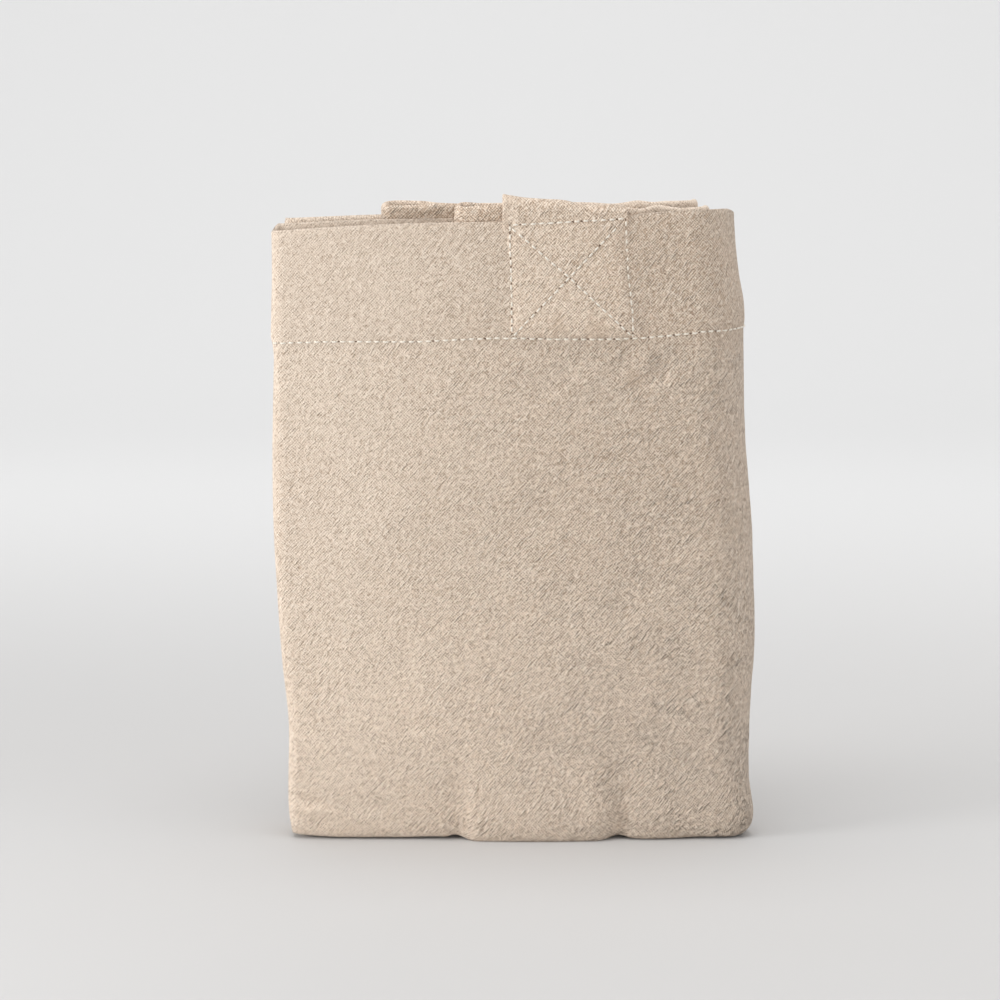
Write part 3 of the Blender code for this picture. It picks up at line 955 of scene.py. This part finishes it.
def makeStrapStitches(material, strap):
    pieces = Pieces()
    mesh = strap.data
    tree = BVHTree.FromPolygons([v.co for v in mesh.vertices], [tuple(p.vertices) for p in mesh.polygons])
    for seed, line in enumerate(boxLines):
        addStitches(pieces, *onSurface(tree, line, 1), 11 + seed)
    inset, bottom, top, higher = sewing["backBox"]
    low, high = handle["sewnBack"][0] + inset, handle["sewnBack"][1] - inset
    corners = ((low, bottom), (low, top), (high, top + higher), (high, bottom + higher))
    lines = [corners[i : i + 2] for i in range(3)] + [(corners[0], corners[2]), (corners[1], corners[3])]
    for seed, line in enumerate(lines):
        addStitches(pieces, *onSurface(tree, line, -1), 21 + seed)
    return pieces.made("strap_stitches", material)


# Materials

def operators(operation):
    # The method for one sign between two values, and its reflected form.
    def straight(self, other):
        return self.math(operation, self, other)

    def reflected(self, other):
        return self.math(operation, other, self)

    return straight, reflected


class Wire:
    # A node's output in an expression. Sums, products and the like add Math nodes.
    def __init__(self, sheet, node, output):
        self.sheet, self.node, self.output = sheet, node, output

    def out(self, name):
        return Wire(self.sheet, self.node, self.node.outputs[name])

    def math(self, operation, first, second=0.0):
        return self.sheet.add("ShaderNodeMath", {"operation": operation}, {0: first, 1: second})

    __add__, __radd__ = operators("ADD")
    __sub__, __rsub__ = operators("SUBTRACT")
    __mul__, __rmul__ = operators("MULTIPLY")
    __truediv__, __rtruediv__ = operators("DIVIDE")

    def sine(self):
        return self.math("SINE", self)


class Finish:
    # One material and its nodes.
    def __init__(self, name, roughness, sheen=0.0):
        self.material = bpy.data.materials.new(name)
        self.material.use_nodes = True
        self.tree = self.material.node_tree
        self.shader = self.tree.nodes["Principled BSDF"]
        values = {"Roughness": roughness, "Specular IOR Level": 0.25, "Sheen Weight": sheen}
        for socket, value in (values | {"Sheen Roughness": 0.6}).items():
            self.feed(self.shader.inputs[socket], value)

    def feed(self, socket, value):
        if isinstance(value, Wire):
            self.tree.links.new(value.output, socket)
        else:
            socket.default_value = value

    def add(self, kind, settings=None, values=None):
        node = self.tree.nodes.new(kind)
        for name, setting in (settings or {}).items():
            setattr(node, name, setting)
        for socket, value in (values or {}).items():
            self.feed(node.inputs[socket], value)
        return Wire(self, node, next(output for output in node.outputs if output.enabled))

    def parted(self, vector):
        parts = self.add("ShaderNodeSeparateXYZ", None, {0: vector})
        return [parts.out(axis) for axis in "XYZ"]

    def clothPlace(self):
        # The cloth's own coordinates, in millimetres.
        return self.parted(self.add("ShaderNodeAttribute", {"attribute_name": "clothPlace"}).out("Vector"))

    def noise(self, x, y, detail=2.0, roughness=0.5, z=0.0):
        vector = self.add("ShaderNodeCombineXYZ", None, {"X": x, "Y": y, "Z": z})
        values = {"Vector": vector, "Scale": 1.0, "Detail": detail, "Roughness": roughness}
        return self.add("ShaderNodeTexNoise", None, values).out("Fac")

    def soft(self, value, low, high):
        settings = {"interpolation_type": "SMOOTHSTEP"}
        return self.add("ShaderNodeMapRange", settings, {"Value": value, "From Min": low, "From Max": high})

    def blend(self, share, first, second):
        settings = {"data_type": "RGBA", "clamp_factor": True}
        return self.add("ShaderNodeMix", settings, {0: share, 6: first, 7: second})

    def done(self, colour, bumps=()):
        # bumps: (height, distance in metres, strength), the coarsest first.
        self.feed(self.shader.inputs["Base Color"], colour)
        before = {}
        for height, distance, strength in bumps:
            values = {"Height": height, "Distance": distance, "Strength": strength, **before}
            before = {"Normal": self.add("ShaderNodeBump", None, values)}
        for name, wire in before.items():
            self.feed(self.shader.inputs[name], wire)
        return self.material


clothLook = {
    "tones": {
        "colour": (0.720, 0.593, 0.482),
        # painted shade: the darker, warmer tone of the front page's right, where less light falls; the paler
        # colour above stands for its lit left
        "paintedShadeRight": (0.628, 0.466, 0.343),
        "low": (1.000, 0.790, 0.615),  # painted light: the paler tone that the cloth is mixed with below the hem
        "deep": (0.370, 0.266, 0.186),
        "pale": (0.900, 0.780, 0.655),
        # painted shade for the puckers' dips
        "dipShadeTone": (0.500, 0.355, 0.245),
    },
    "weave": 0.98,  # millimetres for two threads
    "toRight": (-70.0, 70.0),  # where the front page's grain turns rougher and its colour darker and warmer, as painted shade
    "pastTurn": (76.0, 110.0),  # where that ends again, round the right turn
    "rougherAndPaintedLight": ((164.0, 160.0, 0.2), (110.0, 25.0, 0.22)),  # from this height down to that one, by this much
    "dipShadeSpots": ((15.0, 168.2, 4.0), (27.3, 166.6, 5.0), (38.6, 151.0, 4.0)),  # x, z, reach of the painted shade in the puckers' dips
}


def clothFinish(name, brightness, unevenness):
    # Washed plain-weave cloth: crossing threads, slubs, and short diagonal crinkles. Its colour also holds
    # painted light: highlights on the crinkles' ridges and shade in their troughs, shade in the puckers'
    # dips, a paler tone below the hem, and a darker, warmer tone on the front page's right.
    finish = Finish(name, 0.94, 0.15)
    noise, soft = finish.noise, finish.soft
    # brightness scales every tone: the straps' copy is painted lighter than the bag's, as painted light.
    tones = {key: (*[part * brightness for part in tone], 1) for key, tone in clothLook["tones"].items()}
    u, v, _ = finish.clothPlace()
    wander = noise(u * 0.55, v * 0.55) - 0.5
    wander2 = noise(u * 0.5 + 40.0, v * 0.5) - 0.5
    turn = 2 * math.pi / clothLook["weave"]
    weave = ((u + wander * 0.9) * turn).sine() * ((v + wander2 * 0.9) * turn).sine()
    slubs = noise(u * 0.16, v * 2.1, 1.0) + noise(u * 2.1, v * 0.16 + 9.0, 1.0)
    grain = noise(u * 2.0, v * 2.0, 2.0, 0.6)
    rising, falling = (u + v) * math.sqrt(0.5), (v - u) * math.sqrt(0.5)
    hatch = noise(rising * 0.55, falling * 1.9, 1.0)
    hatch2 = noise(falling * 0.65 + 20.0, rising * 1.9, 1.0)
    onRight = soft(u, *clothLook["toRight"]) - soft(u, *clothLook["pastTurn"])
    # The grain is rougher below the hem, and most of all near the foot. The same mask paints the colour paler
    # there, most on the right, as painted light.
    lower = sum(soft(v * -1.0, -high, -low) * more for high, low, more in clothLook["rougherAndPaintedLight"])
    lower = lower * unevenness + 1.0
    hatched = (hatch - 0.5) * 1.7 + (hatch2 - 0.5) * 1.4 + (grain - 0.5) * 1.2 + weave * 0.5
    hatched = hatched * (onRight * 0.75 + 0.65) * lower
    along, across = turned(u, v, bag["crinkleAngle"])
    streak = noise(along * 0.2, across * 1.3, 1.0)
    streak2 = noise(along * 0.48, across * 1.7 + 30.0, 1.0)
    cross = noise(across * 0.34 + 11.0, along * 1.3, 1.0)
    patch = soft(noise(u * 0.07, v * 0.07), 0.34, 0.66)
    patch2 = soft(noise(u * 0.11 + 70.0, v * 0.11, 1.0), 0.4, 0.7)
    crinkle = (streak - 0.5) * (patch * 0.9 + 0.35) * (onRight * 0.6 + 0.4) + (streak2 - 0.5) * 0.4
    crinkle = (crinkle + (cross - 0.5) * (patch2 * 0.45 + 0.1)) * lower
    broad = noise(u * 0.03 + 5.0, v * 0.03)
    # Painted shade: darker, warmer spots where the cloth dips in puckers by the sewn end.
    dipShade = 0.0
    for x, z, reach in clothLook["dipShadeSpots"]:
        away = ((u - x) * (u - x) + (v - z) * (v - z)) / (reach * reach)
        dipShade = soft(1.0 - away, 0.0, 1.0) + dipShade
    # Painted light and shade: paler and greyer on the lit left, darker and warmer on the right.
    colour = finish.blend(onRight, tones["colour"], tones["paintedShadeRight"])
    for share, tone in (
        # Painted light: paler below the hem, most of all on the right.
        ((lower - 1.1) * (onRight * 1.6 + 1.35), "low"),
        (soft(broad, 0.3, 0.75) * 0.2, "pale"),
        # Painted highlight on the crinkles' ridges, painted shade in their troughs.
        (soft(crinkle, 0.01, 0.2) * 0.6, "pale"),
        (soft(crinkle * -1.0, 0.02, 0.2) * 0.6, "deep"),
        (soft(hatched * -1.0, -0.05, 0.6) * 0.9, "deep"),
        (soft(hatched, 0.0, 0.6) * 0.9, "pale"),
        (soft(slubs, 0.86, 1.22) * 0.25, "pale"),
        (dipShade * 0.28, "dipShadeTone"),
    ):
        colour = finish.blend(share, colour, tones[tone])
    fine = hatched * 1.6 + slubs * 0.6
    return finish.done(colour, ((crinkle, 0.0006, 0.9), (fine, 0.00014, 0.9)))


def threadFinish():
    # Cream sewing thread with a slight twist, and needle holes painted dark as painted shade.
    finish = Finish("sewing_thread", 0.7, 0.1)
    x, y, mark = finish.clothPlace()
    twist = (x * sewing["twists"] + y).sine() * 0.5 + 0.5
    colour = finish.blend(twist, *sewing["threadColours"])
    holes = finish.soft(mark, sewing["holeMark"], sewing["holeMark"] + 1)
    return finish.done(finish.blend(holes, colour, sewing["holeShade"]), ((twist, 0.00006, 0.6),))


# The set

studio = {
    "cameraPlace": (-0.00479, -1.1006, 0.29335),
    "cameraTilt": 9.5,  # degrees down
    "lens": 124.53,
    "sensor": 36.0,
    "paperFront": -3.0,  # metres back from the bag, as the next one
    "floorDepth": 0.9,  # where the paper curves up
    "paperBend": 0.8,
    "bendSteps": 16,
    "paperHeight": 2.6,
    "paperHalfWidth": 3.0,
    "lights": (  # name, place, size, power
        ("key_light", (-0.62, -0.27, 0.18), 0.3, 2.7),
        ("front_light", (-0.25, -1.9, 0.4), 1.4, 2.7),
        ("top_light", (-0.1, -0.15, 1.9), 1.6, 19.0),
        ("side_fill", (1.1, -0.45, 0.1), 0.9, 3.2),
    ),
    "lightsAim": (0.0, 0.0, 0.1),
    "world": 0.6,
    "floorColours": ((0.525, 0.520, 0.517, 1), (0.625, 0.618, 0.613, 1)),  # left, right: painted darker on the left, where the key light falls, and paler on the right, where the bag's shadow falls
    "floorAcross": (-0.35, 0.35),
    "wallColour": (0.83, 0.83, 0.83, 1),
    "paleFrom": (0.05, 0.75),  # metres back from the bag; over these the paper turns paler, as painted light on the backdrop
    "clouds": (6.0, 0.2),  # bumps a metre, strength
}


def stageFinish():
    # Matt paper, very slightly uneven, with painted light: darker on the floor's left, paler on its right,
    # and paler up the wall.
    finish = Finish("studio_paper", 0.9)
    x, y, z = finish.parted(finish.add("ShaderNodeTexCoord").out("Object"))
    fineness, strength = studio["clouds"]
    cloud = finish.noise(x * fineness, y * fineness, 3.0, z=z * fineness)
    # Painted light: darker on the left, where the key light falls, paler on the right, over the bag's shadow.
    rightward = finish.soft(x, *studio["floorAcross"]) + (cloud - 0.5) * strength
    colour = finish.blend(rightward, *studio["floorColours"])
    # Painted light: paler from the floor up the wall.
    colour = finish.blend(finish.soft(y, *studio["paleFrom"]), colour, studio["wallColour"])
    return finish.done(colour)


def makePaper(material):
    bend, floorEnd, steps = studio["paperBend"], studio["floorDepth"], studio["bendSteps"]
    profile = [(studio["paperFront"], 0.0), (floorEnd, 0.0)]
    for i in range(1, steps + 1):
        angle = math.pi / 2 * i / steps
        profile.append((floorEnd + bend * math.sin(angle), bend * (1 - math.cos(angle))))
    profile.append((floorEnd + bend, studio["paperHeight"]))
    half = studio["paperHalfWidth"]
    points = [(side * half, y, z) for y, z in profile for side in (-1, 1)]
    faces = [(2 * i, 2 * i + 1, 2 * i + 3, 2 * i + 2) for i in range(len(profile) - 1)]
    mesh = bpy.data.meshes.new("studio_paper")
    mesh.from_pydata(points, [], faces)
    mesh.shade_smooth()
    mesh.materials.append(material)
    paper = linked("studio_paper", mesh)


def addLight(name, spot, size, power):
    light = bpy.data.lights.new(name, "AREA")
    light.shape = "DISK"
    light.size = size
    light.energy = power
    lamp = linked(name, light)
    lamp.location = spot
    lamp.rotation_euler = (Vector(studio["lightsAim"]) - Vector(spot)).to_track_quat("-Z", "Y").to_euler()


def makeSet():
    makePaper(stageFinish())
    for light in studio["lights"]:
        addLight(*light)
    world = bpy.data.worlds.new("studio")
    world.use_nodes = True
    background = world.node_tree.nodes["Background"]
    background.inputs["Color"].default_value = (1, 1, 1, 1)
    background.inputs["Strength"].default_value = studio["world"]
    bpy.context.scene.world = world
    lens = bpy.data.cameras.new("camera")
    lens.lens = studio["lens"]
    lens.sensor_width = studio["sensor"]
    camera = linked("camera", lens)
    camera.location = studio["cameraPlace"]
    camera.rotation_euler = (math.radians(90 - studio["cameraTilt"]), 0, 0)
    bpy.context.scene.camera = camera
    bpy.context.scene.view_settings.view_transform = "Standard"


makeSet()
print("set ready")

# One cloth in two copies: the straps' copy is painted lighter than the bag's, as painted light.
cloth = clothFinish("washed_cloth", 0.957, 1.0)
strapCloth = clothFinish("strap_cloth", 1.07, 0.0)
thread = threadFinish()

bagCloth, outsideGrid, alongGrid = makeBag(cloth)
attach(bagCloth, "root")
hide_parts("bag_body")
print("bag folded:", len(bagCloth.data.polygons), "faces")

frontStrap = makeFrontHandle(strapCloth)
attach(frontStrap, "root")
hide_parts("front_handle")
backStrap = makeBackHandle(strapCloth)
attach(backStrap, "root")
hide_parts("back_handle")
print("handles sewn on:", len(frontStrap.data.polygons) + len(backStrap.data.polygons), "faces")

hemStitches = makeHemStitches(thread, outsideGrid, alongGrid)
strapStitches = makeStrapStitches(thread, frontStrap)
for stitches in (hemStitches, strapStitches):
    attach(stitches, "root")
print("stitches:", len(hemStitches.data.polygons) + len(strapStitches.data.polygons), "faces")
